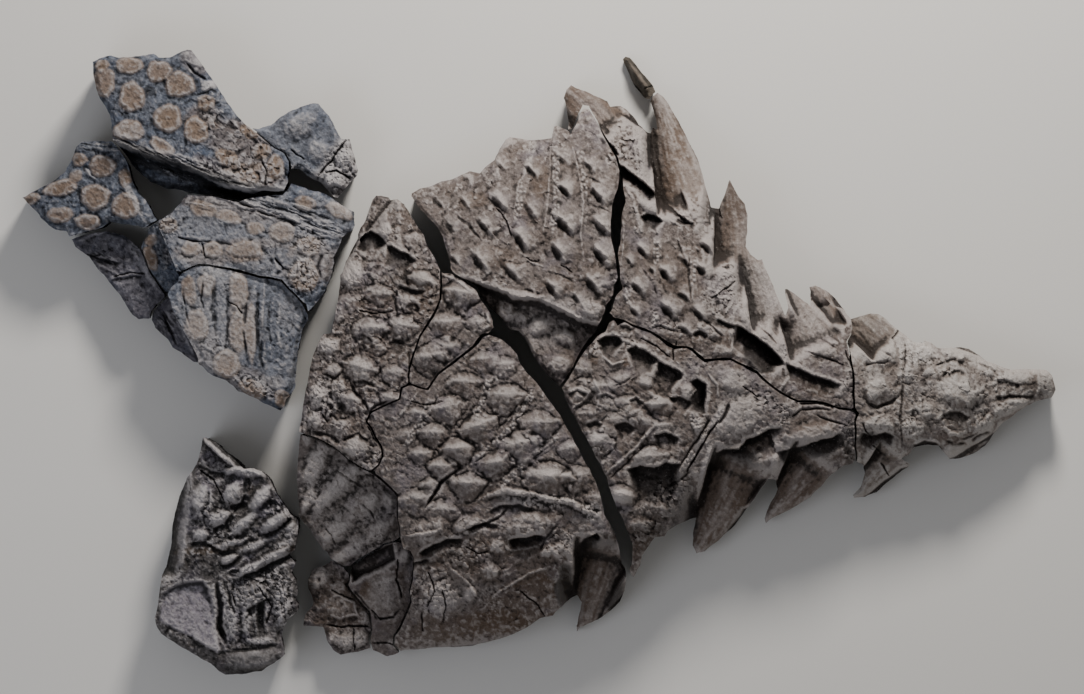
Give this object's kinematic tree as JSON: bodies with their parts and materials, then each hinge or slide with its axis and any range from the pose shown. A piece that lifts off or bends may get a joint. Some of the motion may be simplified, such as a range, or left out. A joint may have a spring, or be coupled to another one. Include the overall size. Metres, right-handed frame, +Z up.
{
  "type": "fossil armoured dinosaur",
  "caption": "Fossil nodosaur from snout to hips, belly down, with keeled armour and shoulder spines, kept in fitted stone blocks.",
  "frame": {"origin": "on the floor, under the middle of the whole animal", "axes": "+X towards the snout, +Y towards the animal's left side, +Z up"},
  "size_m": [3.0111, 1.8164, 0.4398],
  "materials": {
    "trunk_stone": "grey-brown fossil skin and armour, rough",
    "skull_stone": "pale brown fossil bone and skin, rough",
    "hip_stone": "blue-grey rock with tan armour discs, rough",
    "shale": "dark layered shale, rough",
    "limb_stone": "dark grey rock with long bones, rough",
    "spine_stone": "tan horn sheath turned to stone, fibrous"
  },
  "bodies": {
    "root": {"head_block": "skull_stone", "left_shoulder_block": "trunk_stone", "left_shoulder_spine_tip": "spine_stone", "right_shoulder_block": "trunk_stone", "left_trunk_block": "trunk_stone", "right_trunk_block": "trunk_stone", "back_wedge_block": "trunk_stone", "rear_trunk_block": "trunk_stone", "right_flank_block": "trunk_stone", "right_belly_block": "trunk_stone", "belly_corner_block": "trunk_stone", "left_hip_block": "hip_stone", "left_hip_edge_block": "hip_stone", "rear_hip_block": "hip_stone", "hip_chunk": "hip_stone", "mid_hip_block": "hip_stone", "right_hip_block": "hip_stone", "rear_flank_slab": "shale", "lower_flank_slab": "shale", "hind_limb_block": "limb_stone"}
  },
  "joints": []
}
